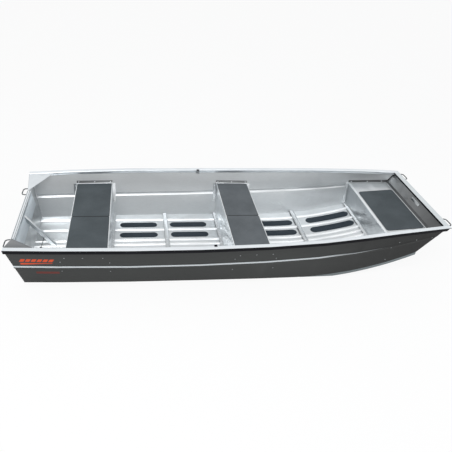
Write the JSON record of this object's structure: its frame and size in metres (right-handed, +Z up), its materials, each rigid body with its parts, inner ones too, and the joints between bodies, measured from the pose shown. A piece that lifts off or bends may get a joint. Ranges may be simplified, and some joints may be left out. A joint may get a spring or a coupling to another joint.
{
  "type": "flat-bottomed aluminium boat",
  "caption": "Open flat-bottomed aluminium boat with a square raked bow, flared sides, padded benches, a bow deck and a lowered motor transom.",
  "frame": {"origin": "on the ground under the middle of the boat", "axes": "+X to the bow, +Y to port, +Z up"},
  "size_m": [4.09, 1.484, 0.56],
  "materials": {
    "bare_sheet": "mill sheet, lightly brushed",
    "extrusion": "satin extrusion",
    "rod": "polished rod",
    "painted_side": "satin dark grey outside, bare sheet inside",
    "motor_pad": "satin blue-grey sheet over a core",
    "black_rubber": "matte",
    "black_plastic": "matte",
    "grey_pad": "fine-grained non-slip foam sheet",
    "non_slip": "coarse non-slip tape"
  },
  "bodies": {
    "root": {"bow_bracket": "bare_sheet", "bow_deck": "bare_sheet", "bow_deck_pad": "grey_pad", "bow_handle_port": "rod", "bow_handle_starboard": "rod", "bow_plate": "bare_sheet", "bow_rail": "extrusion", "chine_runner_port": "bare_sheet", "chine_runner_starboard": "bare_sheet", "drain_bung": "black_rubber", "floor_rib_aft": "bare_sheet", "floor_rib_fore": "bare_sheet", "floor_strips_1": "non_slip", "floor_strips_2": "non_slip", "floor_strips_3": "non_slip", "floor_strips_4": "non_slip", "gunwale_port": "extrusion", "gunwale_starboard": "extrusion", "hull_bottom": "bare_sheet", "mid_bench": "bare_sheet", "mid_bench_pad_port": "grey_pad", "mid_bench_pad_starboard": "grey_pad", "motor_pad": "motor_pad", "rowlock_bush_port": "black_plastic", "rowlock_bush_starboard": "black_plastic", "rowlock_socket_port": "extrusion", "rowlock_socket_starboard": "extrusion", "rub_strip_port": "black_rubber", "rub_strip_starboard": "black_rubber", "side_panel_port": "painted_side", "side_panel_starboard": "painted_side", "stern_bench": "bare_sheet", "stern_bench_pad_port": "grey_pad", "stern_bench_pad_starboard": "grey_pad", "stern_handle_port": "rod", "stern_handle_starboard": "rod", "transom": "bare_sheet", "transom_cap": "extrusion", "transom_gusset_port": "bare_sheet", "transom_gusset_starboard": "bare_sheet", "transom_knee": "bare_sheet"}
  },
  "joints": []
}
